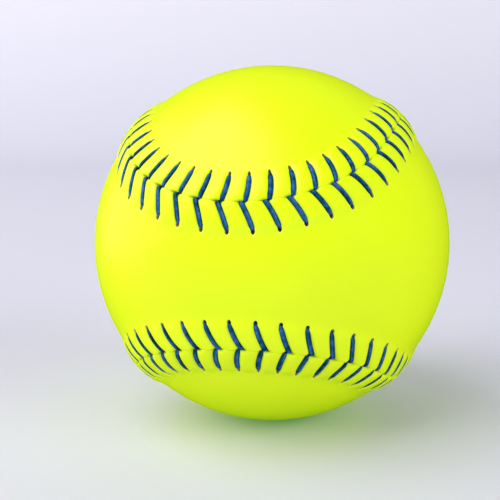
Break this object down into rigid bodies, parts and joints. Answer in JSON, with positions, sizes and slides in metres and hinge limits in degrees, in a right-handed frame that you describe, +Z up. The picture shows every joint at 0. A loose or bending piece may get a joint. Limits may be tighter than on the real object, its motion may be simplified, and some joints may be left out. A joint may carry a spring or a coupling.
{
  "type": "softball",
  "caption": "Round sewn ball with a moulded core, a two-panel optic yellow cover and a raised seam closed by blue thread.",
  "frame": {"origin": "centre of the ball", "axes": "+Z up as the ball lies in its usual view, -Y out through the narrow waist of cover panel A, X along panel A's two lobes; -Z points at the spot it rests on"},
  "size_m": [0.097, 0.0972, 0.097],
  "materials": {
    "core_foam": "matte moulded polyurethane",
    "cement": "dull dried adhesive",
    "cover_leather": "fine-grained synthetic leather, optic yellow, soft sheen",
    "waxed_thread": "flat waxed thread, deep blue"
  },
  "bodies": {
    "root": {"core": "core_foam", "cement_coat": "cement", "cover_panel_a": "cover_leather", "cover_panel_b": "cover_leather", "first_thread": "waxed_thread", "second_thread": "waxed_thread"}
  },
  "joints": []
}
